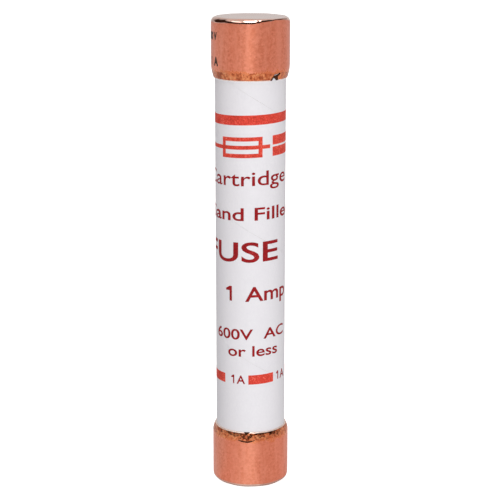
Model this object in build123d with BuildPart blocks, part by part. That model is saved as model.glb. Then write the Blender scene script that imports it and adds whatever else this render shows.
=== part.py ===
from build123d import *
from math import acos, cos, degrees, radians, sin
import os

# Cartridge fuse for 600 V, 1 A: a fibre tube with a spiral paper wrap, closed by two drawn copper
# ferrules whose open edges are rolled in on the tube. Inside, a fine fuse wire runs between two
# copper straps on a fibre card, packed in quartz filler, and each strap is soldered to a ferrule.
# Frame: origin at the centre of the bottom ferrule's face, +Z along the fuse, -Y to the front.
# All sizes are in millimetres.

# ---- Driving dimensions -------------------------------------------------------------------
fuse_length = 127.0
ferrule_diameter = 20.64
ferrule_length = 15.9
ferrule_wall = 0.64
ferrule_corner = 1.4        # outside radius between the closed end and the side
roll_radius = 3.9           # outside radius of the rolled-in edge
lip_tip = 0.16              # metal left at the end of the rolled edge
lip_round = 0.12            # height of the rounding at the end of the lip
lip_clearance = 0.01        # the lip just clears the paper
notch_width = 2.2
notch_depth = 1.7
bottom_notch_angle = -6.0   # from the front (-Y) towards +X, in degrees
top_notch_angle = 42.0

wrap_thickness = 0.12
tube_wall = 2.4
cement_gap = 0.34           # between the paper wrap and the ferrule's inside
cement_setback = 0.5        # cement stops short of the tube's end and of the rolled edge

washer_thickness = 1.5
seal_thickness = 1.2
slot_clearance = 0.05

strap_width = 5.0
strap_thickness = 0.4
strap_bend = 0.3            # inside radius where the strap folds over the washer
foot_length = 6.0           # from the strap's outer face to the end of its foot
solder_gap = 0.36           # between the ferrule's closed end and the foot
solder_radius = 3.4         # where the joint spreads on the ferrule
solder_neck = 2.2           # where it meets the foot

card_length = 64.0
card_width = 8.0
card_thickness = 1.2
card_overlap = 9.0          # how far each strap reaches along the card
card_corner = 1.2
window_length = 42.0
window_width = 4.0

eyelet_inset = 4.5          # from the card's end to the eyelet
eyelet_shank = 1.0          # radius
eyelet_bore = 0.6           # radius
eyelet_flange = 1.7         # radius
eyelet_flange_thickness = 0.25

wire_radius = 0.1
wire_stand_off = 0.15       # gap between the wire and the strap's face
wire_lap = 1.8              # how far each end of the wire lies over its strap
dot_radius = 1.0            # solder dot on the strap, where it holds the wire
dot_height = 0.75
bead_radius = 0.6           # tin bead at the middle of the wire

# ---- Sizes that follow --------------------------------------------------------------------
ferrule_radius = ferrule_diameter / 2
ferrule_inside = ferrule_radius - ferrule_wall
wrap_radius = ferrule_inside - cement_gap
tube_radius = wrap_radius - wrap_thickness
bore_radius = tube_radius - tube_wall
mid_height = fuse_length / 2

foot_bottom = ferrule_wall + solder_gap
washer_bottom = foot_bottom + strap_thickness
tube_bottom = washer_bottom + washer_thickness
seal_top = tube_bottom + seal_thickness
tube_length = fuse_length - 2 * tube_bottom

card_front = -card_thickness / 2
strap_front = card_front - strap_thickness
card_bottom = mid_height - card_length / 2
strap_tip = card_bottom + card_overlap
eyelet_height = card_bottom + eyelet_inset
wire_y = strap_front - wire_stand_off - wire_radius
wire_bottom = strap_tip - wire_lap

lip_inner = wrap_radius + lip_clearance
lip_outer = lip_inner + lip_tip
lip_start = ferrule_length - lip_round
roll_centre = ferrule_radius - roll_radius
roll_angle = acos((lip_outer - roll_centre) / roll_radius)
roll_start = lip_start - roll_radius * sin(roll_angle)
inner_roll_radius = roll_radius - ferrule_wall
inner_roll_angle = acos((lip_inner - roll_centre) / inner_roll_radius)
roll_touch = roll_start + inner_roll_radius * sin(inner_roll_angle)

turn_over_axis = Axis((0, 0, mid_height), (0, 1, 0))


def other_end(piece):
    """The same piece at the top of the fuse, turned over about the fuse's middle."""
    return piece.rotate(turn_over_axis, 180)


def ferrule_at(notch_angle):
    """A drawn copper cup, closed at the bottom, with its open edge rolled in and one V notch."""
    with BuildPart() as ferrule:
        with BuildSketch(Plane.XZ):
            with BuildLine():
                Line((0, 0), (ferrule_radius - ferrule_corner, 0))
                RadiusArc(
                    (ferrule_radius - ferrule_corner, 0),
                    (ferrule_radius, ferrule_corner),
                    -ferrule_corner,
                )
                Line((ferrule_radius, ferrule_corner), (ferrule_radius, roll_start))
                CenterArc((roll_centre, roll_start), roll_radius, 0, degrees(roll_angle))
                TangentArc(
                    (lip_outer, lip_start),
                    (lip_inner, ferrule_length),
                    tangent=(-sin(roll_angle), cos(roll_angle)),
                )
                Line((lip_inner, ferrule_length), (lip_inner, roll_touch))
                CenterArc(
                    (roll_centre, roll_start), inner_roll_radius, 0, degrees(inner_roll_angle)
                )
                Line((ferrule_inside, roll_start), (ferrule_inside, ferrule_corner))
                RadiusArc(
                    (ferrule_inside, ferrule_corner),
                    (ferrule_radius - ferrule_corner, ferrule_wall),
                    ferrule_corner - ferrule_wall,
                )
                Line((ferrule_radius - ferrule_corner, ferrule_wall), (0, ferrule_wall))
                Line((0, ferrule_wall), (0, 0))
            make_face()
        revolve(axis=Axis.Z)
        turned = radians(notch_angle)
        outward = Plane(
            origin=(0, 0, 0), x_dir=(cos(turned), sin(turned), 0), z_dir=(sin(turned), -cos(turned), 0)
        )
        with BuildSketch(outward):
            with BuildLine():
                Polyline(
                    (-notch_width / 2, ferrule_length),
                    (0, ferrule_length - notch_depth),
                    (notch_width / 2, ferrule_length),
                    close=True,
                )
            make_face()
        extrude(amount=ferrule_radius, mode=Mode.SUBTRACT)
    return ferrule.part


# ---- Tube and wrap ------------------------------------------------------------------------
with BuildPart() as tube:
    with BuildSketch(Plane.XY.offset(tube_bottom)):
        Circle(tube_radius)
        Circle(bore_radius, mode=Mode.SUBTRACT)
    extrude(amount=tube_length)

with BuildPart() as paper_wrap:
    with BuildSketch(Plane.XY.offset(tube_bottom)):
        Circle(wrap_radius)
        Circle(tube_radius, mode=Mode.SUBTRACT)
    extrude(amount=tube_length)

# ---- Pieces that both ends have, made at the bottom ---------------------------------------
with BuildPart() as cement_ring:
    with BuildSketch(Plane.XY.offset(tube_bottom + cement_setback)):
        Circle(ferrule_inside)
        Circle(wrap_radius, mode=Mode.SUBTRACT)
    extrude(amount=roll_start - tube_bottom - 2 * cement_setback)

# The washer's slot also leaves room for the inside of the strap's bend.
with BuildPart() as end_washer:
    with BuildSketch(Plane.XY.offset(washer_bottom)):
        Circle(tube_radius)
        with Locations((0, (strap_front + card_front + strap_bend) / 2)):
            Rectangle(
                strap_width + 2 * slot_clearance,
                strap_thickness + strap_bend + 2 * slot_clearance,
                mode=Mode.SUBTRACT,
            )
    extrude(amount=washer_thickness)

with BuildPart() as seal_disc:
    with BuildSketch(Plane.XY.offset(tube_bottom)):
        Circle(bore_radius)
        with Locations((0, (strap_front + card_front) / 2)):
            Rectangle(
                strap_width + 2 * slot_clearance,
                strap_thickness + 2 * slot_clearance,
                mode=Mode.SUBTRACT,
            )
    extrude(amount=seal_thickness)

# The strap is an L seen from the side: a leg up the tube and a foot folded over the washer.
with BuildPart() as terminal_strap:
    with BuildSketch(Plane.YZ):
        with BuildLine() as outline:
            Polyline(
                (strap_front, foot_bottom),
                (strap_front + foot_length, foot_bottom),
                (strap_front + foot_length, washer_bottom),
                (card_front, washer_bottom),
                (card_front, strap_tip),
                (strap_front, strap_tip),
                close=True,
            )
        make_face()
        corners = outline.vertices()
        outer_corner = corners.sort_by_distance((0, strap_front, foot_bottom))[0]
        inner_corner = corners.sort_by_distance((0, card_front, washer_bottom))[0]
        fillet(inner_corner, strap_bend)
        fillet(outer_corner, strap_bend + strap_thickness)
    extrude(amount=strap_width / 2, both=True)
    with Locations(Location((0, card_front, eyelet_height), (90, 0, 0))):
        Cylinder(eyelet_shank, 4 * strap_thickness, mode=Mode.SUBTRACT)

with BuildPart() as solder_joint:
    with BuildSketch(Plane.XZ):
        with BuildLine():
            Line((0, ferrule_wall), (solder_radius, ferrule_wall))
            RadiusArc((solder_radius, ferrule_wall), (solder_neck, foot_bottom), 2 * solder_neck)
            Line((solder_neck, foot_bottom), (0, foot_bottom))
            Line((0, foot_bottom), (0, ferrule_wall))
        make_face()
    revolve(axis=Axis.Z)
solder_joint.part = solder_joint.part.translate((0, strap_front + foot_length / 2, 0))

# A tubular rivet that fills its hole in strap and card, flared on both sides.
with BuildPart() as card_eyelet:
    with BuildSketch(Plane.XY):
        with BuildLine():
            Polyline(
                (eyelet_bore, strap_front - eyelet_flange_thickness),
                (eyelet_flange, strap_front - eyelet_flange_thickness),
                (eyelet_flange, strap_front),
                (eyelet_shank, strap_front),
                (eyelet_shank, -card_front),
                (eyelet_flange, -card_front),
                (eyelet_flange, -card_front + eyelet_flange_thickness),
                (eyelet_bore, -card_front + eyelet_flange_thickness),
                close=True,
            )
        make_face()
    revolve(axis=Axis.Y)
card_eyelet.part = card_eyelet.part.translate((0, 0, eyelet_height))

# ---- Card, wire and bead at the middle ----------------------------------------------------
with BuildPart() as bridge_card:
    with BuildSketch(Plane.XZ.offset(card_front)):
        with Locations((0, mid_height)):
            RectangleRounded(card_width, card_length, card_corner)
            RectangleRounded(window_width, window_length, window_width / 4, mode=Mode.SUBTRACT)
        with Locations((0, eyelet_height), (0, fuse_length - eyelet_height)):
            Circle(eyelet_shank, mode=Mode.SUBTRACT)
    extrude(amount=card_thickness)

with BuildPart() as fuse_wire:
    with BuildSketch(Plane.XY.offset(wire_bottom)):
        with Locations((0, wire_y)):
            Circle(wire_radius)
    extrude(amount=fuse_length - 2 * wire_bottom)

# A dome of solder stands on each strap's face, over the end of the wire.
dome_radius = (dot_radius**2 + dot_height**2) / (2 * dot_height)
with BuildPart() as wire_solder:
    with Locations(
        (0, strap_front - dot_height + dome_radius, wire_bottom + dot_height),
        (0, strap_front - dot_height + dome_radius, fuse_length - wire_bottom - dot_height),
    ):
        Sphere(dome_radius)
    split(bisect_by=Plane.XZ.offset(-strap_front), keep=Keep.TOP)
    add(fuse_wire.part, mode=Mode.SUBTRACT)

with BuildPart() as tin_bead:
    with Locations((0, wire_y, mid_height)):
        Sphere(bead_radius)
    add(fuse_wire.part, mode=Mode.SUBTRACT)

# ---- Filler: all the bore that the other pieces leave free ---------------------------------
with BuildPart() as filler:
    with BuildSketch(Plane.XY.offset(seal_top)):
        Circle(bore_radius)
    extrude(amount=fuse_length - 2 * seal_top)
    for inner in (terminal_strap, card_eyelet):
        add(inner.part, mode=Mode.SUBTRACT)
        add(other_end(inner.part), mode=Mode.SUBTRACT)
    for inner in (bridge_card, fuse_wire, wire_solder, tin_bead):
        add(inner.part, mode=Mode.SUBTRACT)

# ---- Write every piece --------------------------------------------------------------------
pieces = {
    "tube": tube.part,
    "paper_wrap": paper_wrap.part,
    "ferrule_bottom": ferrule_at(bottom_notch_angle),
    "ferrule_top": other_end(ferrule_at(-top_notch_angle)),
    "bridge_card": bridge_card.part,
    "fuse_wire": fuse_wire.part,
    "wire_solder": wire_solder.part,
    "tin_bead": tin_bead.part,
    "filler": filler.part,
}
both_ends = {
    "cement_ring": cement_ring,
    "end_washer": end_washer,
    "seal_disc": seal_disc,
    "terminal_strap": terminal_strap,
    "solder_joint": solder_joint,
    "card_eyelet": card_eyelet,
}
for name, builder in both_ends.items():
    pieces[f"{name}_bottom"] = builder.part
    pieces[f"{name}_top"] = other_end(builder.part)

os.makedirs("parts", exist_ok=True)
for name, piece in pieces.items():
    piece.label = name
    export_step(piece, f"parts/{name}.step")
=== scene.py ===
from math import acos, atan2, cos, hypot, pi, radians, sin, tan

import bpy
from mathutils import Matrix, Vector, noise


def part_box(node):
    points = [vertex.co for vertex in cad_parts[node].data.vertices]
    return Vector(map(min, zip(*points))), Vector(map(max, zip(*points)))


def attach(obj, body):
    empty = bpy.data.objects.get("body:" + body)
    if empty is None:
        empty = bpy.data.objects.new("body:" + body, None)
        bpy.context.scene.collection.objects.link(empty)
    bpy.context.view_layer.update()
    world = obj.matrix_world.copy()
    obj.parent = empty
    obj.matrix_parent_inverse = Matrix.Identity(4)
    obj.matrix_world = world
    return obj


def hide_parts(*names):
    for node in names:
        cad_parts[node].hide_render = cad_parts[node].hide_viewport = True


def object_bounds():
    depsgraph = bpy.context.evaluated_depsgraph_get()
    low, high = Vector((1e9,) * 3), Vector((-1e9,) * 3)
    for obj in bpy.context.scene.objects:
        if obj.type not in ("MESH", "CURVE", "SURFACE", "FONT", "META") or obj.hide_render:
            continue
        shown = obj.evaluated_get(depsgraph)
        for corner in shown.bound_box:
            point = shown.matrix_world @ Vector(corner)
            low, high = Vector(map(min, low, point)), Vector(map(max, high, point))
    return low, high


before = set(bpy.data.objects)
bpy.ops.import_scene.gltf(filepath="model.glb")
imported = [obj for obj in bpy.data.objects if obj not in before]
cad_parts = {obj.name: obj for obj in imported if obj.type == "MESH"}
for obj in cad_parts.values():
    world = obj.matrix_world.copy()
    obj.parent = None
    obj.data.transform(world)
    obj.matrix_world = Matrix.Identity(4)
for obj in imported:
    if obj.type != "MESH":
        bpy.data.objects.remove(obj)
cad_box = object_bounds()

# The fuse stands on its bottom ferrule at the origin, +Z up, -Y towards the camera.
# Angles round the fuse start at the front (-Y) and grow towards +X.
MM = 0.001

# ---- Sizes from the frame ------------------------------------------------------------------
fuse_length = cad_box[1].z - cad_box[0].z
middle = fuse_length / 2
ferrule_low, ferrule_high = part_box("ferrule_bottom")
ferrule_radius = ferrule_high.x
ferrule_length = ferrule_high.z - ferrule_low.z
wrap_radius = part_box("paper_wrap")[1].x
tube_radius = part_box("tube")[1].x
tube_bottom, tube_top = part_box("tube")[0].z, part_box("tube")[1].z

# ---- Sizes of the ferrule's drawn and rolled shape ------------------------------------------
ferrule_wall = 0.64 * MM
corner_radius = 1.4 * MM
roll_radius = 3.9 * MM
lip_tip = 0.16 * MM
lip_round = 0.12 * MM
lip_clearance = 0.01 * MM
dish_depth = 0.08 * MM          # the closed end is slightly hollow
dish_radius = 7.6 * MM
lip_edge = 0.41 * MM            # rounding of the rolled edge
lip_highlight_band = 0.22 * MM            # how far the lip's pale painted highlight reaches from its top
rolled_in = 0.577 * MM          # how far the roll draws the wall in
bottom_roll = 2.23 * MM         # length of the roll along the fuse
top_roll = 3.5 * MM
roll_band = 2.05 * MM           # how far the burnish of the roll reaches from the lip
bottom_notch = radians(-6)
top_notch = radians(42)
# The closed end's corner is pressed tighter on one side: degrees round the fuse, and the
# corner's radius there in mm.
top_corner = (
    (-90, 1.4), (-60, 1.7), (-35, 1.4), (2, 1.5), (11, 1.25), (18, 0.9), (29, 0.7), (40, 0.42),
    (52, 0.5), (66, 0.8), (90, 1.4),
)
even_corner = ((-90, 1.4), (90, 1.4))

# ---- Sizes of the ferrule's dents, cuts and wear ---------------------------------------------
turn_steps = 288                # faces round a ferrule
corner_reach = 0.02 * MM        # a point this near the corner's arc is on it
corner_slack = 0.01 * MM
outer_depth = 0.3 * MM          # how near the wall's radius the cup's outside is
outer_lean = 0.45 * MM          # and how much further in at the lip
dents_start = 2.4 * MM          # distances from the lip between which the roll's dents grow
dents_full = 1.8 * MM
calm_start = 0.8 * MM           # and between which they get shallower again
calm_full = 0.3 * MM
calm_share = 0.6
dent_stretch = 1.8
dent_depth = 0.2 * MM
rim_waves_top = 2.4 * MM        # how high up the wall the rim's waves reach
rim_waves_in = 0.4 * MM         # how far in from the corner's centre they start
rim_waves_full = 0.3 * MM       # and how far out from it they are full
rim_hollow = 0.4 * MM           # higher than this within the wall is the cup's inside
rim_wave = 4.5 * MM
rim_wave_depth = 0.22 * MM
fold_width = 4.6 * MM
fold_drop = 2.5 * MM
fold_depth = 0.13 * MM
fold_margin = 1.3               # how far below itself the fold still moves the metal
fold_proud = 0.35               # how proud its edges stand, as a share of its depth
fold_fade = (0.1 * MM, 0.4 * MM)
fold_cut = 0.3 * MM             # how deep the fold is cut into the wall, for its painted shade
tear_depth = 1 * MM             # how far the top tear goes in past the lip
groove_left = 0.12 * MM         # what the top groove leaves of the lip
notch_over = 1 * MM             # how far a notch's cutter stands out past the wall
rim_top = 1.6 * MM              # the rubbed rim, with its paler copper as a painted reflection, ends this high
rim_from = 0.5 * MM             # and starts this far out from the corner's centre
rim_facing = -0.2               # and its faces turn at least this far to the end
face_top = 0.15 * MM
ragged_edge = ((0.35 * MM, 1.7 * MM), (0.22 * MM, 0.5 * MM))    # the burnish's: height, size
burnish_waves = 0.9 * MM        # how unevenly the burnish's shade fades up the wall
burnish_start = 0.25 * MM
burnish_end = 0.75 * MM

# ---- Sizes of the paper strip and the print -------------------------------------------------
strip_pitch = 35.8 * MM
strip_gap = 0.045 * MM
seam_angle = radians(2.8)       # the seam passes this place on the front
seam_height = 71.2 * MM
ink_depth = 0.02 * MM
cut_reach = 0.0002 * MM         # a point this near a cut counts as on it
merge_reach = 0.001 * MM        # points this near each other are one
column_reach = 0.002 * MM       # the same, in a flat shape cut into columns
column_angle = radians(3)       # how far round the fuse each column reaches
print_lean = tan(radians(2.0))  # the print climbs towards +X
cap_share = 0.72                # a capital's height, as a share of the type size
figure_width = 0.39             # the figure 1's width, as a share of a capital's height
wide_gap, close_gap = 0.75, 0.30        # and the space after it
sign_base = 91.3 * MM
band_low, band_high = 99.85 * MM, 102.4 * MM
band_steps = 144
dash_base = 29.5 * MM
dash_height = 2.6 * MM
half_dash = 3.6 * MM
rating_base = 29.7 * MM
rating_height = 2.4 * MM
rating_length = 4.05 * MM
rating_weight = 0.02
stamp_weight = 0.07             # heavier strokes would run into each other
stamp_sunk = 0.6                # how much of the stamps' ink is within the wall
ink_shine = 0.12

# ---- Sizes of the floor ------------------------------------------------------------------------
floor_radius = 3.0
floor_drop = 0.02 * MM
floor_glow = 0.88


# ---- Small helpers for modelling -------------------------------------------------------------
def leave_all():
    """Out of edit mode, with nothing selected."""
    if bpy.context.object and bpy.context.object.mode != "OBJECT":
        bpy.ops.object.mode_set(mode="OBJECT")
    bpy.ops.object.select_all(action="DESELECT")


def work_on(piece):
    leave_all()
    piece.select_set(True)
    bpy.context.view_layer.objects.active = piece


def named(name):
    """The object just added, under its own name."""
    piece = bpy.context.object
    piece.name = piece.data.name = name
    return piece


def add_modifier(piece, kind, **settings):
    """One modifier, set and applied."""
    work_on(piece)
    modifier = piece.modifiers.new(kind.title(), kind)
    for key, value in settings.items():
        setattr(modifier, key, value)
    bpy.ops.object.modifier_apply(modifier=modifier.name)


def edit_all(piece):
    """Into edit mode, with the whole mesh selected."""
    work_on(piece)
    bpy.ops.object.mode_set(mode="EDIT")
    bpy.ops.mesh.select_all(action="SELECT")


def clean_shell(piece):
    """Doubles merged and faces turned outwards."""
    edit_all(piece)
    bpy.ops.mesh.remove_doubles(threshold=merge_reach)
    bpy.ops.mesh.normals_make_consistent(inside=False)
    bpy.ops.object.mode_set(mode="OBJECT")


def smooth(piece, angle):
    work_on(piece)
    bpy.ops.object.shade_smooth_by_angle(angle=radians(angle))


def settle(piece):
    """Place, turn and scale go into the mesh, so that the object is at the origin."""
    work_on(piece)
    bpy.ops.object.transform_apply(location=True, rotation=True, scale=True)


def eased(value, start, end):
    """0 before start, 1 after end, and smooth between them."""
    share = min(1.0, max(0.0, (value - start) / (end - start)))
    return share * share * (3 - 2 * share)


def arc(centre, radius, first, last, count):
    """Points on an arc in the X-Z plane, between two angles in radians."""
    return [
        (
            centre[0] + radius * cos(first + (last - first) * i / count),
            centre[1] + radius * sin(first + (last - first) * i / count),
        )
        for i in range(count + 1)
    ]


def angle_round(point):
    """The angle round the fuse of a point, 0 at the front."""
    return atan2(point.x, -point.y)


def at_angle(radius, angle, height):
    return Vector((radius * sin(angle), -radius * cos(angle), height))


# ---- Finishes ---------------------------------------------------------------------------------
def new_finish(name, metallic=0.0, **sockets):
    """A material with one shader, and the place on the piece that its patterns read."""
    material = bpy.data.materials.new(name)
    material.use_nodes = True
    tree = material.node_tree
    shader = tree.nodes["Principled BSDF"]
    shader.inputs["Metallic"].default_value = metallic
    for key, value in sockets.items():
        shader.inputs[key.replace("_", " ").title()].default_value = value
    place = tree.nodes.new("ShaderNodeTexCoord").outputs["Object"]
    return material, tree, shader, place


def stretched(tree, place, size, stretch):
    mapping = tree.nodes.new("ShaderNodeMapping")
    mapping.inputs["Scale"].default_value = [s / size for s in stretch]
    tree.links.new(place, mapping.inputs["Vector"])
    return mapping.outputs["Vector"]


def grain(tree, place, size, detail=3.0, stretch=(1, 1, 1), roughness=0.55, warp=0.0):
    """Cloudy grain, with features about one size across."""
    noise = tree.nodes.new("ShaderNodeTexNoise")
    noise.inputs["Scale"].default_value = 1.0
    noise.inputs["Detail"].default_value = detail
    noise.inputs["Roughness"].default_value = roughness
    noise.inputs["Distortion"].default_value = warp
    tree.links.new(stretched(tree, place, size, stretch), noise.inputs["Vector"])
    return noise.outputs["Fac"]


def cells(tree, place, size, stretch=(1, 1, 1), feature="F1"):
    """Grains that touch each other, each about one size across."""
    voronoi = tree.nodes.new("ShaderNodeTexVoronoi")
    voronoi.feature = feature
    voronoi.inputs["Scale"].default_value = 1.0
    tree.links.new(stretched(tree, place, size, stretch), voronoi.inputs["Vector"])
    return voronoi.outputs["Distance"]


def shades(tree, value, stops):
    """Colours along a value: (place, (red, green, blue)) for each stop."""
    ramp = tree.nodes.new("ShaderNodeValToRGB")
    band = ramp.color_ramp
    for i, (where, colour) in enumerate(stops):
        element = band.elements[i] if i < 2 else band.elements.new(where)
        element.position = where
        element.color = (*colour, 1)
    tree.links.new(value, ramp.inputs["Fac"])
    return ramp.outputs["Color"]


def spread(tree, value, low, high, start=0.3, end=0.7):
    """A value from start to end, spread over low to high."""
    node = tree.nodes.new("ShaderNodeMapRange")
    node.inputs["From Min"].default_value = start
    node.inputs["From Max"].default_value = end
    node.inputs["To Min"].default_value = low
    node.inputs["To Max"].default_value = high
    tree.links.new(value, node.inputs["Value"])
    return node.outputs["Result"]


def joined(tree, first, second):
    """The sum of two patterns."""
    node = tree.nodes.new("ShaderNodeMath")
    node.operation = "ADD"
    tree.links.new(first, node.inputs[0])
    tree.links.new(second, node.inputs[1])
    return node.outputs["Value"]


def tinted(tree, colour, other, share):
    """One colour over another, by a share that is a number or a pattern."""
    node = tree.nodes.new("ShaderNodeMix")
    node.data_type = "RGBA"
    # A mix of colours has its share on socket 0, and the two colours on sockets 6 and 7.
    for source, index in ((share, 0), (colour, 6), (other, 7)):
        socket = node.inputs[index]
        if isinstance(source, bpy.types.NodeSocket):
            tree.links.new(source, socket)
        elif isinstance(source, tuple):
            socket.default_value = (*source, 1)
        else:
            socket.default_value = source
    return node.outputs[2]


def relief(tree, shader, height, depth):
    """Small unevenness of the surface, depth metres high."""
    bump = tree.nodes.new("ShaderNodeBump")
    bump.inputs["Strength"].default_value = 1.0
    bump.inputs["Distance"].default_value = depth
    tree.links.new(height, bump.inputs["Height"])
    tree.links.new(bump.outputs["Normal"], shader.inputs["Normal"])


def wear(tree, shader, colour=None, roughness=None):
    if colour is not None:
        tree.links.new(colour, shader.inputs["Base Color"])
    if roughness is not None:
        tree.links.new(roughness, shader.inputs["Roughness"])


def near_roll(tree, place, pattern):
    """1 on the rolled ends of both ferrules, 0 a little way up the wall, and ragged between."""
    parts = tree.nodes.new("ShaderNodeSeparateXYZ")
    tree.links.new(place, parts.inputs["Vector"])
    from_middle = tree.nodes.new("ShaderNodeMath")
    from_middle.operation = "SUBTRACT"
    from_middle.inputs[1].default_value = middle
    tree.links.new(parts.outputs["Z"], from_middle.inputs[0])
    away = tree.nodes.new("ShaderNodeMath")
    away.operation = "ABSOLUTE"
    tree.links.new(from_middle.outputs["Value"], away.inputs[0])
    waves = spread(tree, pattern, -burnish_waves, burnish_waves)
    ragged = joined(tree, away.outputs["Value"], waves)
    roll_from = middle - (ferrule_length - roll_band)
    return spread(
        tree, ragged, 1.0, 0.0, start=roll_from + burnish_start, end=roll_from + burnish_end
    )


def satin_copper():
    """Drawn and tumbled copper: a fine grain, soft blotches and faint streaks along the fuse."""
    material, tree, shader, place = new_finish("satin_copper", metallic=1.0)
    shader.inputs["Anisotropic"].default_value = 0.55
    shader.inputs["Anisotropic Rotation"].default_value = 0.25
    tangent = tree.nodes.new("ShaderNodeTangent")
    tangent.direction_type = "RADIAL"
    tangent.axis = "Z"
    tree.links.new(tangent.outputs["Tangent"], shader.inputs["Tangent"])
    blotches = grain(tree, place, 1.7 * MM, detail=4.0, roughness=0.6, warp=0.4)
    fine = grain(tree, place, 0.7 * MM, detail=5.0, roughness=0.7)
    streaks = grain(tree, place, 1.6 * MM, detail=2.0, stretch=(1, 1, 0.12))
    colour = shades(tree, fine, [
        (0.34, (0.73, 0.22, 0.125)), (0.5, (0.87, 0.30, 0.185)), (0.68, (0.99, 0.39, 0.26)),
    ])
    dull = spread(tree, blotches, 0.5, 0.0, start=0.36, end=0.54)
    colour = tinted(tree, colour, (0.74, 0.225, 0.125), dull)
    bright = spread(tree, streaks, 0.0, 0.55, start=0.42, end=0.66)
    colour = tinted(tree, colour, (0.97, 0.38, 0.255), bright)
    # The burnish of the roll reaches unevenly on to the wall.
    rubbed = near_roll(tree, place, blotches)
    colour = tinted(tree, colour, (0.80, 0.26, 0.12), rubbed)
    roughness = tinted(tree, spread(tree, blotches, 0.36, 0.46), (0.24, 0.24, 0.24), rubbed)
    wear(tree, shader, colour, roughness)
    relief(tree, shader, joined(tree, fine, blotches), 0.022 * MM)
    return material


def burnished_copper():
    """The rolled edge: brighter and more orange where the roller has rubbed it."""
    material, tree, shader, place = new_finish("burnished_copper", metallic=1.0)
    flutes = grain(tree, place, 0.75 * MM, detail=4.0, stretch=(1, 1, 0.7), roughness=0.65)
    pits = cells(tree, place, 0.7 * MM, stretch=(1, 1, 0.8), feature="SMOOTH_F1")
    colour = shades(tree, flutes, [
        (0.36, (0.34, 0.070, 0.025)), (0.48, (0.68, 0.195, 0.080)), (0.68, (0.95, 0.42, 0.20)),
    ])
    tarnish = grain(tree, place, 2.2 * MM, detail=3.0)
    dull = spread(tree, tarnish, 0.0, 0.75, start=0.50, end=0.68)
    colour = tinted(tree, colour, (0.34, 0.085, 0.04), dull)
    wear(tree, shader, colour, spread(tree, flutes, 0.14, 0.26))
    relief(tree, shader, joined(tree, flutes, pits), 0.16 * MM)
    return material


def rim_sheen_copper():
    """The corner round the closed end, rubbed smooth by handling; its paler copper is a painted
    reflection.
    """
    material, tree, shader, place = new_finish("rim_sheen_copper", metallic=1.0)
    rub = grain(tree, place, 4.0 * MM, detail=1.0, roughness=0.4)
    fine = grain(tree, place, 0.4 * MM, detail=4.0)
    colour = shades(tree, fine, [(0.3, (0.86, 0.54, 0.44)), (0.7, (0.97, 0.66, 0.56))])
    wear(tree, shader, colour, spread(tree, rub, 0.05, 0.11))
    relief(tree, shader, rub, 0.35 * MM)
    return material


def lip_highlight_copper():
    """The sheared edge of the roll, pale and half dulled: its pale colour is a painted highlight along
    the edge.
    """
    material, tree, shader, place = new_finish("lip_highlight_copper", metallic=0.35)
    fine = grain(tree, place, 0.5 * MM, detail=4.0)
    colour = shades(tree, fine, [(0.3, (0.90, 0.62, 0.50)), (0.58, (0.99, 0.84, 0.76))])
    wear(tree, shader, colour, spread(tree, fine, 0.16, 0.26))
    relief(tree, shader, fine, 0.02 * MM)
    return material


def end_sheen_copper():
    """The closed end's face: paler copper as a painted reflection, with a faint brushed grain."""
    material, tree, shader, place = new_finish("end_sheen_copper", metallic=1.0)
    brush = grain(tree, place, 1.2 * MM, detail=5.0, stretch=(1, 0.4, 1))
    colour = shades(tree, brush, [(0.3, (0.86, 0.55, 0.45)), (0.7, (0.93, 0.63, 0.53))])
    wear(tree, shader, colour, spread(tree, brush, 0.09, 0.14))
    relief(tree, shader, brush, 0.0005 * MM)
    return material


def crevice_shade():
    """Near-black metal in a tear or fold of the rolled edge: painted shade for its dark inside, brown
    in places like oxide.
    """
    material, tree, shader, place = new_finish("crevice_shade")
    shader.inputs["Specular IOR Level"].default_value = 0.1
    soot = grain(tree, place, 0.2 * MM, detail=4.0)
    colour = shades(tree, soot, [(0.35, (0.020, 0.008, 0.004)), (0.7, (0.13, 0.042, 0.018))])
    wear(tree, shader, colour, spread(tree, soot, 0.55, 0.8))
    relief(tree, shader, soot, 0.02 * MM)
    return material


def white_paper():
    """Smooth white label paper with a faint fibre in it."""
    material, tree, shader, place = new_finish("white_paper")
    fibre = grain(tree, place, 0.5 * MM, detail=5.0, stretch=(1, 1, 0.6))
    broad = grain(tree, place, 9 * MM, detail=2.0)
    colour = shades(tree, fibre, [(0.3, (0.785, 0.78, 0.82)), (0.7, (0.83, 0.825, 0.86))])
    colour = tinted(tree, colour, (0.79, 0.785, 0.825), spread(tree, broad, 0.0, 0.7))
    wear(tree, shader, colour, spread(tree, fibre, 0.42, 0.52))
    relief(tree, shader, fibre, 0.004 * MM)
    return material


def red_ink(name, thin, full, cover):
    """Printed red: cover is how much of it is full, and the rest is thin with the paper showing."""
    material, tree, shader, place = new_finish(name)
    speckle = grain(tree, place, 0.35 * MM, detail=5.0, roughness=0.7)
    broad = grain(tree, place, 2.5 * MM, detail=2.0)
    both = joined(tree, speckle, spread(tree, broad, -0.08, 0.08))
    deep = tuple(0.6 * part for part in full)
    colour = shades(tree, both, [(cover - 0.14, thin), (cover, full), (0.68, deep)])
    wear(tree, shader, colour, spread(tree, speckle, 0.5, 0.65))
    relief(tree, shader, speckle, 0.004 * MM)
    shader.inputs["Specular IOR Level"].default_value = ink_shine
    return material


def black_ink():
    """Stamping ink, brown where it is thin."""
    material, tree, shader, place = new_finish("black_ink")
    shader.inputs["Specular IOR Level"].default_value = ink_shine
    speckle = grain(tree, place, 0.3 * MM, detail=5.0, roughness=0.7)
    colour = shades(tree, speckle, [
        (0.34, (0.16, 0.07, 0.03)), (0.5, (0.012, 0.009, 0.008)), (0.7, (0.004, 0.004, 0.004)),
    ])
    wear(tree, shader, colour, spread(tree, speckle, 0.3, 0.5))
    return material


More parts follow.
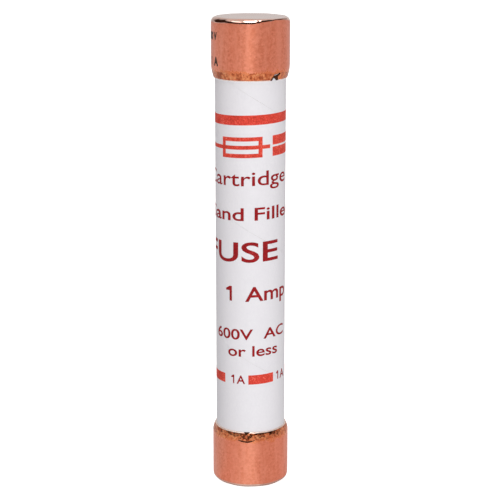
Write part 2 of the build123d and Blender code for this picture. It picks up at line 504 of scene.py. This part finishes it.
def fibrous(name, tones, size, stretch, depth, roughness):
    """Pressed fibre, board or felt: strands that run one way."""
    material, tree, shader, place = new_finish(name)
    strands = grain(tree, place, size, detail=6.0, stretch=stretch, roughness=0.65, warp=0.6)
    wear(tree, shader, shades(tree, strands, [(0.3, tones[0]), (0.5, tones[1]), (0.72, tones[2])]),
         spread(tree, strands, roughness - 0.08, roughness + 0.08))
    relief(tree, shader, strands, depth)
    return material


def granular(name, tones, size, depth, roughness):
    """Grains packed together, such as sand or a filled cement."""
    material, tree, shader, place = new_finish(name)
    grains = cells(tree, place, size)
    dust = grain(tree, place, size * 3, detail=4.0)
    colour = shades(tree, grains, [(0.1, tones[2]), (0.5, tones[1]), (0.9, tones[0])])
    colour = tinted(tree, colour, tones[1], spread(tree, dust, 0.0, 0.8))
    wear(tree, shader, colour, spread(tree, dust, roughness - 0.1, roughness + 0.1))
    relief(tree, shader, grains, depth)
    return material


def drawn_metal(name, tones, size, stretch, depth, roughness):
    """Rolled, drawn or frozen metal with a light tarnish."""
    material, tree, shader, place = new_finish(name, metallic=1.0)
    lines = grain(tree, place, size, detail=4.0, stretch=stretch)
    tarnish = grain(tree, place, size * 8, detail=3.0)
    colour = shades(tree, lines, [(0.3, tones[0]), (0.7, tones[1])])
    colour = tinted(tree, colour, tones[0], spread(tree, tarnish, 0.0, 0.7))
    wear(tree, shader, colour, spread(tree, tarnish, roughness - 0.06, roughness + 0.1))
    relief(tree, shader, lines, depth)
    return material


def give(piece, *materials):
    piece.data.materials.clear()
    for material in materials:
        piece.data.materials.append(material)


# ---- The ferrules -------------------------------------------------------------------------------
roll_centre = ferrule_radius - roll_radius
lip_inner = wrap_radius + lip_clearance
lip_outer = lip_inner + lip_tip
roll_angle = acos((lip_outer - roll_centre) / roll_radius)
roll_start = ferrule_length - lip_round - roll_radius * sin(roll_angle)
inner_roll = roll_radius - ferrule_wall
inner_roll_angle = acos((lip_inner - roll_centre) / inner_roll)
corner_centre = ferrule_radius - corner_radius
ferrule_inside = ferrule_radius - ferrule_wall


def ferrule_outline(roll_length):
    """Radius and height along the cup, from the end's middle out to the lip and back inside."""
    turn = 2 * atan2(rolled_in, roll_length)
    bend = roll_length / sin(turn)
    roll_end = ferrule_length - lip_edge * (1 - sin(turn))
    bend_start = roll_end - roll_length
    steps = 10
    dish = [
        (dish_radius * i / steps, dish_depth * (1 + cos(pi * i / steps)) / 2) for i in range(steps + 1)
    ]
    corner = arc((corner_centre, corner_radius), corner_radius, -pi / 2, 0, 14)
    wall = [(ferrule_radius, corner_radius + (bend_start - corner_radius) * i / 8) for i in range(1, 8)]
    roll = arc((ferrule_radius - bend, bend_start), bend, 0, turn, 24)
    edge = (roll[-1][0] - lip_edge * cos(turn), roll[-1][1] - lip_edge * sin(turn))
    lip = arc(edge, lip_edge, turn, pi / 2, 7)[1:] + [(lip_inner, edge[1] + lip_edge)]
    inside = arc((roll_centre, roll_start), inner_roll, inner_roll_angle, 0, 8)
    inner_corner = arc((corner_centre, corner_radius), corner_radius - ferrule_wall, 0, -pi / 2, 6)
    return dish + corner + wall + roll + lip + inside + inner_corner + [(0, ferrule_wall)]


def lathed(name, outline, steps):
    """An outline drawn point by point in the X-Z plane, spun once round the fuse's axis."""
    leave_all()
    bpy.ops.mesh.primitive_plane_add(size=MM, location=(0, 0, 0))
    piece = named(name)
    bpy.ops.object.mode_set(mode="EDIT")
    bpy.ops.mesh.select_mode(type="VERT")
    bpy.ops.mesh.select_all(action="SELECT")
    bpy.ops.mesh.merge(type="CENTER")
    here = Vector((outline[0][0], 0, outline[0][1]))
    bpy.ops.transform.translate(value=here)
    for radius, height in outline[1:]:
        there = Vector((radius, 0, height))
        bpy.ops.mesh.extrude_vertices_move(TRANSFORM_OT_translate={"value": there - here})
        here = there
    bpy.ops.mesh.select_all(action="SELECT")
    bpy.ops.mesh.spin(steps=steps, angle=2 * pi, center=(0, 0, 0), axis=(0, 0, 1))
    bpy.ops.object.mode_set(mode="OBJECT")
    clean_shell(piece)
    return piece


def outer_side(point):
    """True on the outside of the wall and its roll, not on the inside or the lip's edge."""
    radius = hypot(point.x, point.y)
    lean = max(0.0, point.z - ferrule_length + top_roll) / top_roll
    return radius > ferrule_radius - outer_depth - outer_lean * lean


def roll_share(point):
    """How unevenly a point of the roll is drawn in: most in the middle of it."""
    if not outer_side(point):
        return 0.0
    rise = eased(point.z, ferrule_length - dents_start, ferrule_length - dents_full)
    calm = eased(point.z, ferrule_length - calm_start, ferrule_length - calm_full)
    return rise * (1 - calm_share * calm)


def rim_share(point):
    """How wavy a point of the closed end's rim is: most on the corner itself."""
    radius = hypot(point.x, point.y)
    waves_from = corner_centre - rim_waves_in
    in_cup = radius < ferrule_inside and point.z > rim_hollow
    if point.z > rim_waves_top or radius < waves_from or in_cup:
        return 0.0
    outwards = eased(radius, waves_from, corner_centre + rim_waves_full)
    return outwards * (1 - eased(point.z, corner_radius, rim_waves_top))


def size_at(angle, sizes):
    """The value that (degrees, value) pairs give at an angle, eased from one to the next."""
    degrees = angle * 180 / pi
    if degrees <= sizes[0][0]:
        return sizes[0][1]
    for (start, first), (end, second) in zip(sizes, sizes[1:]):
        if degrees <= end:
            return first + (second - first) * eased(degrees, start, end)
    return sizes[-1][1]


def press_corner(piece, sizes):
    """The closed end's outer corner gets its own radius at each angle."""
    for vertex in piece.data.vertices:
        x, y, height = vertex.co
        out = hypot(x, y)
        from_centre = hypot(out - corner_centre, height - corner_radius)
        off_arc = abs(from_centre - corner_radius) > corner_reach
        if off_arc or height > corner_radius or out < corner_centre - corner_slack:
            continue
        turn = atan2(height - corner_radius, out - corner_centre)
        size = size_at(angle_round(vertex.co), sizes) * MM
        moved = ferrule_radius - size + size * cos(turn)
        vertex.co = Vector((x * moved / out, y * moved / out, size + size * sin(turn)))


def made_uneven(piece, share_of, size, stretch, depth):
    """Hollows and swellings about one size across, where share_of says so."""
    group = piece.vertex_groups.new(name="uneven")
    for vertex in piece.data.vertices:
        share = share_of(vertex.co)
        if share > 0:
            group.add([vertex.index], share, "REPLACE")
    clouds = bpy.data.textures.new("uneven_metal", "CLOUDS")
    clouds.noise_scale = size
    clouds.noise_depth = 1
    leave_all()
    bpy.ops.object.empty_add(location=(0, 0, 0))
    measure = bpy.context.object
    measure.scale = (1, 1, stretch)
    bpy.context.view_layer.update()
    add_modifier(
        piece, "DISPLACE", texture=clouds, texture_coords="OBJECT", texture_coords_object=measure,
        vertex_group="uneven", strength=depth, mid_level=0.62, direction="NORMAL",
    )
    bpy.data.objects.remove(measure)
    bpy.data.textures.remove(clouds)
    piece.vertex_groups.clear()


def press_fold(piece, angle, width, drop, depth):
    """The folded V under a notch: its metal is pressed in, and its edges stand a little proud."""
    for vertex in piece.data.vertices:
        if not outer_side(vertex.co):
            continue
        across = ferrule_radius * (angle_round(vertex.co) - angle)
        below = ferrule_length - vertex.co.z
        if abs(across) > width or below > drop * fold_margin:
            continue
        inside = 1 - abs(across) / (width / 2) - below / drop
        proud = fold_proud * depth * eased(inside, -0.3, -0.05) * (1 - eased(inside, -0.05, 0.1))
        press = -depth * eased(inside, 0.0, 0.35) + proud
        press *= eased(below, *fold_fade)
        outward = Vector((vertex.co.x, vertex.co.y, 0)).normalized()
        vertex.co += outward * press


def kept_in_gauge(piece):
    """Nothing stands out past the wall's own radius or the closed end's height."""
    for vertex in piece.data.vertices:
        radius = hypot(vertex.co.x, vertex.co.y)
        if radius > ferrule_radius:
            vertex.co.x *= ferrule_radius / radius
            vertex.co.y *= ferrule_radius / radius
        vertex.co.z = max(0.0, vertex.co.z)


def cut_notch(piece, angle, corners, inner, crevice):
    """A cut into the roll down to the inner radius, its faces in the crevice's painted shade. Corners
    go across and up from the lip, in mm.
    """
    leave_all()
    bpy.ops.mesh.primitive_cylinder_add(
        vertices=len(corners), radius=1, depth=1, location=(0, 0, 0), end_fill_type="NGON"
    )
    wedge = named("notch_wedge")
    rings = [[v for v in wedge.data.vertices if v.co.z * end > 0] for end in (-1, 1)]
    for ring in rings:
        ring.sort(key=lambda v: atan2(v.co.y, v.co.x))
    # Each end of the wedge is drawn as the outline, in order round it.
    for ring, out in zip(rings, (inner, ferrule_radius + notch_over)):
        for vertex, (across, up) in zip(ring, corners):
            vertex.co = Vector((across * MM, -out, ferrule_length + up * MM))
    wedge.data.transform(Matrix.Rotation(angle, 4, "Z"))
    clean_shell(wedge)
    give(wedge, crevice)
    add_modifier(
        piece, "BOOLEAN", object=wedge, operation="DIFFERENCE", solver="EXACT", material_mode="TRANSFER"
    )
    bpy.data.objects.remove(wedge)
    clean_shell(piece)


def finish_ferrule(piece):
    """Satin wall, burnished roll and pale lip, and the closed end's own face and rim. The lip's pale
    colour is a painted highlight, and the paler copper of the face and rim a painted reflection.
    """
    give(piece, wall_finish, roll_finish, face_sheen_finish, rim_sheen_finish, lip_highlight_finish)
    roll, face, rim, lip = 1, 2, 3, 4       # their places in that list, after the wall's
    for polygon in piece.data.polygons:
        place = polygon.center
        radius = hypot(place.x, place.y)
        ragged = sum(height * noise.noise(place / size) for height, size in ragged_edge)
        at_end = place.z < rim_top and polygon.normal.z < rim_facing
        if place.z > ferrule_length - lip_highlight_band:
            polygon.material_index = lip
        elif place.z > ferrule_length - roll_band + ragged:
            polygon.material_index = roll
        elif at_end and radius > corner_centre + rim_from:
            polygon.material_index = rim
        elif place.z < face_top:
            polygon.material_index = face


def ferrule(name, node, roll_length, corner, angle, dimple, cuts):
    """A whole ferrule, closed end down. Dimple is the size of the dents in its roll."""
    piece = lathed(name, ferrule_outline(roll_length), turn_steps)
    press_corner(piece, corner)
    made_uneven(piece, roll_share, dimple, dent_stretch, dent_depth)
    made_uneven(piece, rim_share, rim_wave, 1.0, rim_wave_depth)
    press_fold(piece, angle, fold_width, fold_drop, fold_depth)
    kept_in_gauge(piece)
    finish_ferrule(piece)
    for corners, inner in cuts:
        cut_notch(piece, angle, corners, inner, crevice_shade_finish)
    smooth(piece, 38)
    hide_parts(node)
    return piece


def turn_over(piece):
    """Turned over about the fuse's middle, as the top ferrule is."""
    edit_all(piece)
    bpy.ops.transform.rotate(value=pi, orient_axis="Y", center_override=(0, 0, middle))
    bpy.ops.object.mode_set(mode="OBJECT")


wall_finish, roll_finish = satin_copper(), burnished_copper()
# The face and rim finishes are paler copper, which paints their reflection.
face_sheen_finish, rim_sheen_finish = end_sheen_copper(), rim_sheen_copper()
# Of these, the lip finish paints a highlight on the lip and the crevice finish paints shade.
crevice_shade_finish, lip_highlight_finish = crevice_shade(), lip_highlight_copper()
# Under the lip the metal is torn open in a shallow V, with a fold beside it; the cut faces of both are
# painted in shade.
bottom_tear = ((-1.15, 0.3), (0, -0.72), (1.15, 0.3))
bottom_fold = (
    (-3.6, -1.8), (-1.6, -2.1), (0.1, -2.3), (2.9, -1.85), (0.9, -2.6), (0.1, -2.72), (-1.4, -2.5),
)
bottom_ferrule = ferrule(
    "copper_ferrule_bottom", "ferrule_bottom", bottom_roll, even_corner, bottom_notch,
    dimple=1.0 * MM,
    cuts=[(bottom_tear, lip_inner), (bottom_fold, ferrule_radius - fold_cut)],
)
# The top ferrule is made the same way up, and turned over when it is done. Until then its
# angles are counted the other way.
# Its groove and tear get the same painted shade on their cut faces.
top_tear = ((-0.7, 0.3), (0.4, -0.85), (1.4, 0.3))
top_groove = (
    (-1.1, -0.05), (-0.6, -1.05), (-1.4, -1.75), (-1.2, -2.1), (-0.2, -1.75), (1.05, -1.5),
    (1.8, -0.05),
)
top_ferrule = ferrule(
    "copper_ferrule_top", "ferrule_top", top_roll,
    [(-angle, size) for angle, size in reversed(top_corner)], -top_notch,
    dimple=0.8 * MM,
    cuts=[(top_groove, lip_inner + groove_left), (top_tear, lip_inner - tear_depth)],
)
turn_over(top_ferrule)


# ---- The paper strip ------------------------------------------------------------------------------
def wound_strip(name):
    """A strip of paper as wide as the winding's pitch, less the gap at its butt seam."""
    leave_all()
    bpy.ops.mesh.primitive_plane_add(size=1, location=(0, 0, 0), rotation=(pi / 2, 0, 0))
    piece = named(name)
    settle(piece)
    # The strip's section: as thick as the wrap and a pitch high, with its edge beside the seam.
    turns, turns_below, turn_columns = 5, 3, 128
    turn_share = strip_pitch * (seam_angle - pi / 2) / (2 * pi)
    seam_start = seam_height - strip_pitch * turns_below + turn_share
    for vertex in piece.data.vertices:
        vertex.co.x = wrap_radius if vertex.co.x > 0 else tube_radius
        vertex.co.z = seam_start + (strip_gap / 2 if vertex.co.z < 0 else strip_pitch - strip_gap / 2)
        vertex.co.y = 0
    edit_all(piece)
    bpy.ops.mesh.delete(type="ONLY_FACE")
    bpy.ops.object.mode_set(mode="OBJECT")
    add_modifier(
        piece, "SCREW", angle=-2 * pi * turns, screw_offset=strip_pitch * turns,
        steps=turn_columns * turns, render_steps=turn_columns * turns, use_smooth_shade=True,
    )
    for height, clear in ((tube_bottom, {"clear_inner": True}), (tube_top, {"clear_outer": True})):
        edit_all(piece)
        bpy.ops.mesh.bisect(
            plane_co=(0, 0, height), plane_no=(0, 0, 1), use_fill=True, threshold=cut_reach, **clear
        )
        bpy.ops.object.mode_set(mode="OBJECT")
    clean_shell(piece)
    return piece


paper = wound_strip("paper_strip")
give(paper, white_paper())
smooth(paper, 30)
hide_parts("paper_wrap")


# ---- The print -------------------------------------------------------------------------------------
def lay_round(piece, radius, angle, height, lean=0.0):
    """A flat shape is cut into columns, given an ink's depth and laid round the fuse."""
    work_on(piece)
    across = [v.co.x for v in piece.data.vertices]
    width = radius * column_angle
    bpy.ops.object.mode_set(mode="EDIT")
    column = min(across) + width / 2
    while column < max(across):
        bpy.ops.mesh.select_all(action="SELECT")
        bpy.ops.mesh.bisect(plane_co=(column, 0, 0), plane_no=(1, 0, 0), threshold=cut_reach)
        column += width
    bpy.ops.mesh.select_all(action="SELECT")
    bpy.ops.mesh.remove_doubles(threshold=column_reach)
    # Every face is turned the same way up before it is given its thickness.
    bpy.ops.mesh.select_mode(type="FACE")
    bpy.ops.object.mode_set(mode="OBJECT")
    for polygon in piece.data.polygons:
        polygon.select = polygon.normal.z < 0
    bpy.ops.object.mode_set(mode="EDIT")
    bpy.ops.mesh.flip_normals()
    bpy.ops.mesh.select_mode(type="VERT")
    bpy.ops.object.mode_set(mode="OBJECT")
    add_modifier(piece, "SOLIDIFY", thickness=ink_depth, offset=1.0)
    for vertex in piece.data.vertices:
        x, y, out = vertex.co
        turned = angle + x / radius
        vertex.co = at_angle(radius + out, turned, height + y)
        vertex.co.z += lean * vertex.co.x
    edit_all(piece)
    bpy.ops.mesh.normals_make_consistent(inside=False)
    bpy.ops.object.mode_set(mode="OBJECT")
    smooth(piece, 30)


def flat_type(name, words, cap_height, weight):
    """A line of plain type as a flat mesh, its left end at zero."""
    leave_all()
    bpy.ops.object.text_add(location=(0, 0, 0))
    line = named(name)
    line.data.body = words
    line.data.size = cap_height / cap_share
    line.data.resolution_u = 5
    line.data.offset = weight * cap_height
    bpy.ops.object.convert(target="MESH")
    piece = named(name)
    piece.data.transform(Matrix.Translation((-min(v.co.x for v in piece.data.vertices), 0, 0)))
    return piece


def numeral_one(name, cap_height):
    """A figure 1 with a flag, which the plain type lacks."""
    stem, shoulder, flag = 0.24, 0.70, 0.82
    piece = block(name, [[side * cap_height for side in box] for box in (
        (stem, figure_width, 0.0, shoulder), (stem, figure_width, shoulder, 1.0),
        (0.0, stem, shoulder, flag),
    )])
    for vertex in piece.data.vertices:
        # The flag rises to meet the top of the stem.
        at_stem = vertex.co.x > 0.2 * cap_height
        if at_stem and abs(vertex.co.y - flag * cap_height) < 0.01 * cap_height:
            vertex.co.y = cap_height
    return piece


def lettering(name, words, cap_height, length, weight):
    """A line of print, flat and centred, as long as it is to be round the tube."""
    if words.startswith("1"):
        rest = words[1:].lstrip()
        gap = (wide_gap if " " in words else close_gap) * cap_height
        piece = flat_type(name, rest, cap_height, weight)
        figure = numeral_one(f"{name}_figure", cap_height)
        piece.data.transform(Matrix.Translation((figure_width * cap_height + gap, 0, 0)))
        leave_all()
        figure.select_set(True)
        piece.select_set(True)
        bpy.context.view_layer.objects.active = piece
        bpy.ops.object.join()
        piece = named(name)
    else:
        piece = flat_type(name, words, cap_height, weight)
    across = [v.co.x for v in piece.data.vertices]
    wide = max(across) - min(across)
    centred = Matrix.Translation((-(max(across) + min(across)) / 2, 0, 0))
    piece.data.transform(Matrix.Diagonal((length / wide, 1, 1, 1)) @ centred)
    return piece


def block(name, boxes):
    """Flat rectangles side by side: (left, right, bottom, top) for each, joined into one piece."""
    parts = []
    for left, right, bottom, top in boxes:
        leave_all()
        bpy.ops.mesh.primitive_plane_add(size=1, location=((left + right) / 2, (bottom + top) / 2, 0))
        part = named(name)
        part.scale = (right - left, top - bottom, 1)
        settle(part)
        parts.append(part)
    leave_all()
    for part in parts:
        part.select_set(True)
    bpy.context.view_layer.objects.active = parts[0]
    if len(parts) > 1:
        bpy.ops.object.join()
    return named(name)


text_red = red_ink("text_red", (0.52, 0.08, 0.07), (0.37, 0.012, 0.016), 0.38)
band_red = red_ink("band_red", (0.86, 0.26, 0.19), (0.80, 0.070, 0.045), 0.43)

# Words, capital height, length round the tube, angle of the middle, baseline height, weight.
LINES = [
    ("print_type", "Cartridge", 3.95, 28.5, -14, 83.9, 0.009),
    ("print_filling", "Sand Filled", 3.5, 31.0, 2, 74.65, 0.018),
    ("print_fuse", "FUSE", 5.5, 24.0, -23, 63.45, 0.018),
    ("print_current", "1 Amp", 4.05, 19.3, 15.3, 52.7, 0.02),
    ("print_voltage", "600V  AC", 2.95, 22.2, 0.5, 42.1, 0.02),
    ("print_limit", "or less", 3.0, 14.6, 5.2, 37.4, 0.02),
]
printed = []
for name, words, cap, length, angle, base, weight in LINES:
    line = lettering(name, words, cap * MM, length * MM, weight)
    lay_round(line, wrap_radius, radians(angle), base * MM, print_lean)
    give(line, text_red)
    printed.append(line)

# The fuse sign: a box with its line running through it, and a bar beside it.
sign_boxes = [
    (-14.0, -8.2, 2.2, 3.2), (-8.2, 3.2, 4.35, 5.4), (-8.2, 3.2, 0.0, 1.05), (-8.2, -7.1, 1.05, 2.2),
    (-8.2, -7.1, 3.2, 4.35), (-8.2, 2.1, 2.2, 3.2), (2.1, 3.2, 1.05, 2.2), (2.1, 3.2, 3.2, 4.35),
    (2.1, 5.4, 2.2, 3.2), (6.2, 14.0, 2.95, 5.4), (6.2, 14.0, 0.0, 2.45),
]
sign = block("print_sign", [[side * MM for side in box] for box in sign_boxes])
lay_round(sign, wrap_radius, 0.0, sign_base, print_lean)
give(sign, band_red)
printed.append(sign)

# A band right round near the top, and a broken one near the bottom with the rating in its gaps.
inked = wrap_radius + ink_depth
band = lathed("print_band", [
    (wrap_radius, band_low), (inked, band_low), (inked, band_high), (wrap_radius, band_high),
    (wrap_radius, band_low),
], band_steps)
for vertex in band.data.vertices:
    vertex.co.z += print_lean * vertex.co.x
smooth(band, 30)
give(band, band_red)
printed.append(band)

# The angle of each dash and of the rating beside it, in degrees.
dashes = ((18.6, -21.2), (105.9, 60.0), (193.2, 149.5), (291.3, 242.0))
for count, (dash_angle, mark_angle) in enumerate(dashes, start=1):
    dash = block(f"print_dash_{count}", [(-half_dash, half_dash, 0, dash_height)])
    lay_round(dash, wrap_radius, radians(dash_angle), dash_base, print_lean)
    give(dash, band_red)
    mark = lettering(f"print_rating_{count}", "1A", rating_height, rating_length, rating_weight)
    lay_round(mark, wrap_radius, radians(mark_angle), rating_base, print_lean)
    give(mark, text_red)
    printed += [dash, mark]

for piece in printed:
    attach(piece, "root")

# Small black ratings stamped on the top ferrule, round to the left: words, capital height,
# length round the wall, angle of the right end, baseline height.
stamp_ink = black_ink()
for name, words, cap, length, end_angle, base in (
    ("stamp_voltage", "600 V", 1.9, 5.5, -57, 121.4),
    ("stamp_current", "1 A", 2.2, 4.2, -54, 114.8),
):
    stamp = lettering(name, words, cap * MM, length * MM, stamp_weight)
    turned = radians(end_angle) - length * MM / 2 / ferrule_radius
    lay_round(stamp, ferrule_radius - stamp_sunk * ink_depth, turned, base * MM)
    give(stamp, stamp_ink)
    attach(stamp, "root")

for piece in (bottom_ferrule, top_ferrule, paper):
    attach(piece, "root")

# ---- Finishes of the pieces inside ---------------------------------------------------------------
grey_fibre = fibrous("grey_fibre", ((0.36, 0.34, 0.31), (0.46, 0.44, 0.40), (0.56, 0.54, 0.50)),
                     0.6 * MM, (1, 1, 0.25), 0.02 * MM, 0.62)
brown_cement = granular("brown_cement", ((0.10, 0.06, 0.04), (0.16, 0.10, 0.06), (0.24, 0.16, 0.10)),
                        0.18 * MM, 0.02 * MM, 0.7)
red_board = fibrous("red_board", ((0.18, 0.05, 0.035), (0.27, 0.08, 0.05), (0.36, 0.12, 0.07)),
                    0.5 * MM, (1, 1, 0.4), 0.012 * MM, 0.5)
wool_felt = fibrous("wool_felt", ((0.55, 0.52, 0.46), (0.68, 0.65, 0.58), (0.80, 0.78, 0.72)),
                    0.35 * MM, (1, 1, 1), 0.05 * MM, 0.9)
sheet_copper = drawn_metal("sheet_copper", ((0.72, 0.33, 0.20), (0.88, 0.46, 0.32)),
                           0.3 * MM, (1, 1, 0.15), 0.004 * MM, 0.3)
soft_solder = drawn_metal("soft_solder", ((0.48, 0.48, 0.50), (0.66, 0.66, 0.68)),
                          0.4 * MM, (1, 1, 1), 0.012 * MM, 0.34)
eyelet_brass = drawn_metal("worn_brass", ((0.62, 0.44, 0.18), (0.80, 0.62, 0.30)),
                           0.2 * MM, (1, 1, 1), 0.004 * MM, 0.26)
silver_wire = drawn_metal("silver_wire", ((0.72, 0.70, 0.67), (0.90, 0.88, 0.85)),
                          0.08 * MM, (1, 1, 0.1), 0.002 * MM, 0.2)
bead_tin = drawn_metal("bead_tin", ((0.55, 0.55, 0.56), (0.74, 0.74, 0.75)),
                       0.3 * MM, (1, 1, 1), 0.008 * MM, 0.32)
quartz_sand = granular("quartz_sand", ((0.50, 0.47, 0.42), (0.70, 0.67, 0.61), (0.86, 0.84, 0.80)),
                       0.35 * MM, 0.12 * MM, 0.55)
INSIDE = {
    "tube": grey_fibre, "bridge_card": red_board, "fuse_wire": silver_wire, "wire_solder": soft_solder,
    "tin_bead": bead_tin, "filler": quartz_sand, "cement_ring": brown_cement, "end_washer": red_board,
    "seal_disc": wool_felt, "terminal_strap": sheet_copper, "solder_joint": soft_solder,
    "card_eyelet": eyelet_brass,
    "paper_wrap": paper.data.materials[0], "ferrule": wall_finish,
}
for node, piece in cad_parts.items():
    family = node.removesuffix("_bottom").removesuffix("_top")
    give(piece, INSIDE[family])

# ---- Floor, light and camera -----------------------------------------------------------------------
leave_all()
bpy.ops.mesh.primitive_circle_add(
    vertices=96, radius=floor_radius, fill_type="NGON", location=(0, 0, -floor_drop)
)
floor = named("floor")
floor_finish, floor_tree, floor_shader, floor_place = new_finish("pale_floor", roughness=0.9)
floor_colour = shades(floor_tree, grain(floor_tree, floor_place, 60 * MM, detail=2.0), [
    (0.3, (0.90, 0.90, 0.90)), (0.7, (0.92, 0.92, 0.92)),
])
wear(floor_tree, floor_shader, floor_colour)
floor_shader.inputs["Specular IOR Level"].default_value = 0.0
floor_shader.inputs["Emission Color"].default_value = (1, 1, 1, 1)
floor_shader.inputs["Emission Strength"].default_value = floor_glow


def shine_of_floor(tree, shader, place):
    """The floor as it lights the fuse and is mirrored in it: brightest in front, dim at the sides."""
    sweep = tree.nodes.new("ShaderNodeTexGradient")
    sweep.gradient_type = "RADIAL"
    tree.links.new(place, sweep.inputs["Vector"])
    ray = tree.nodes.new("ShaderNodeLightPath")
    surface = shader.outputs["BSDF"]
    reach = tree.nodes.new("ShaderNodeVectorMath")
    reach.operation = "LENGTH"
    tree.links.new(place, reach.inputs[0])
    # A painted contact shadow: the floor's glow is darker where the fuse stands close over it.
    shaded = spread(
        tree, reach.outputs["Value"], 0.45, 1.0,
        start=ferrule_radius - 0.6 * MM, end=ferrule_radius + 1.6 * MM,
    )
    warm, cool = (0.76, 0.63, 0.59), (0.68, 0.70, 0.73)
    dim, grey, pale = (0.62, 0.62, 0.63), (0.90, 0.90, 0.90), (1.2, 1.2, 1.2)
    left = (0.50, 0.50, 0.51)
    for kind, stops in (
        ("Is Diffuse Ray", [
            (0.00, left), (0.12, (0.84, 0.84, 0.84)), (0.22, pale), (0.30, pale), (0.42, grey),
            (0.54, dim), (0.75, grey), (0.98, left),
        ]),
        ("Is Glossy Ray", [
            (0.00, cool), (0.09, warm), (0.155, (0.82, 0.71, 0.68)), (0.21, (0.98, 0.98, 0.97)),
            (0.285, (1.0, 1.0, 0.98)), (0.308, warm), (0.50, (0.76, 0.64, 0.62)), (0.72, cool),
        ]),
    ):
        card = tree.nodes.new("ShaderNodeEmission")
        tree.links.new(shades(tree, sweep.outputs["Fac"], stops), card.inputs["Color"])
        tree.links.new(shaded, card.inputs["Strength"])
        mixed = tree.nodes.new("ShaderNodeMixShader")
        tree.links.new(ray.outputs[kind], mixed.inputs["Fac"])
        tree.links.new(surface, mixed.inputs[1])
        tree.links.new(card.outputs["Emission"], mixed.inputs[2])
        surface = mixed.outputs["Shader"]
    tree.links.new(surface, tree.nodes["Material Output"].inputs["Surface"])


shine_of_floor(floor_tree, floor_shader, floor_place)
give(floor, floor_finish)

scene = bpy.context.scene
scene.view_settings.view_transform = "Standard"


def studio_world():
    """A plain room, pale at the horizon and overhead. The dark belt between them is broken
    behind the fuse, and reaches higher on the right."""
    world = bpy.data.worlds.new("studio")
    scene.world = world
    world.use_nodes = True
    tree = world.node_tree
    background = tree.nodes["Background"]
    direction = tree.nodes.new("ShaderNodeTexCoord").outputs["Generated"]
    parts = tree.nodes.new("ShaderNodeSeparateXYZ")
    tree.links.new(direction, parts.inputs["Vector"])
    sweep = tree.nodes.new("ShaderNodeTexGradient")
    sweep.gradient_type = "RADIAL"
    tree.links.new(direction, sweep.inputs["Vector"])
    warm, pale, ceiling = (0.84, 0.75, 0.72), (0.58, 0.58, 0.58), (0.66, 0.62, 0.60)
    dusk, dark = (0.03, 0.014, 0.008), (0.02, 0.009, 0.005)
    # Every layer goes round the room from the left, through the front (a quarter) and the
    # right (a half) to the back.
    around = sweep.outputs["Fac"]
    horizon = shades(tree, around, [
        (0.00, warm), (0.08, (0.84, 0.76, 0.73)), (0.19, (0.82, 0.74, 0.71)), (0.31, warm),
        (0.42, (0.80, 0.73, 0.70)), (0.55, (0.62, 0.60, 0.60)), (0.75, (0.63, 0.63, 0.63)),
        (0.79, (0.60, 0.60, 0.60)), (0.84, (0.40, 0.37, 0.36)), (0.92, (0.72, 0.64, 0.62)),
        (1.00, warm),
    ])
    belt = shades(tree, around, [
        (0.00, dusk), (0.25, dark), (0.63, dusk), (0.69, pale), (0.81, pale), (0.87, dusk),
    ])
    upper = shades(tree, around, [(0.29, ceiling), (0.33, dark), (0.54, dark), (0.60, ceiling)])
    # The layers above the horizon, and the heights between which each takes over.
    room, up = horizon, parts.outputs["Z"]
    for layer, start, end in ((belt, 0.20, 0.30), (upper, 0.66, 0.78), (ceiling, 0.86, 0.92)):
        room = tinted(tree, room, layer, spread(tree, up, 0.0, 1.0, start=start, end=end))
    tree.links.new(room, background.inputs["Color"])


def soft_light(name, place, size, power, seen=True):
    """A rectangular soft box, turned to face the middle of the fuse."""
    leave_all()
    bpy.ops.object.light_add(type="AREA", location=place)
    light = named(name)
    light.data.shape = "RECTANGLE"
    light.data.size, light.data.size_y = size
    light.data.energy = power
    light.visible_glossy = seen
    towards = Vector((0, 0, middle)) - Vector(place)
    light.rotation_euler = towards.to_track_quat("-Z", "Y").to_euler()


studio_world()
# The place and the size of each light in metres, and its power in watts.
soft_light("overhead_box", (-0.01, -0.24, 0.80), (0.22, 0.40), 1.9)
soft_light("overhead_side", (-0.34, -0.20, 0.80), (0.40, 0.20), 0.36)
soft_light("front_fill", (0.46, -1.15, 0.50), (0.9, 0.9), 4.6, seen=False)
soft_light("front_strip", (-0.03, -1.0, 0.10), (0.30, 0.34), 0.30)

camera_distance = 395 * MM
sideways = -0.12 * MM
camera_height = 162 * MM
aim_height = 64.47 * MM
leave_all()
bpy.ops.object.camera_add(location=(sideways, -camera_distance, camera_height))
camera = named("camera")
camera.data.sensor_width = 36
camera.data.lens = 108.8
camera.data.clip_start = 0.01
camera.data.clip_end = 20
aim = Vector((sideways, 0, aim_height)) - camera.location
camera.rotation_euler = aim.to_track_quat("-Z", "Y").to_euler()
scene.camera = camera
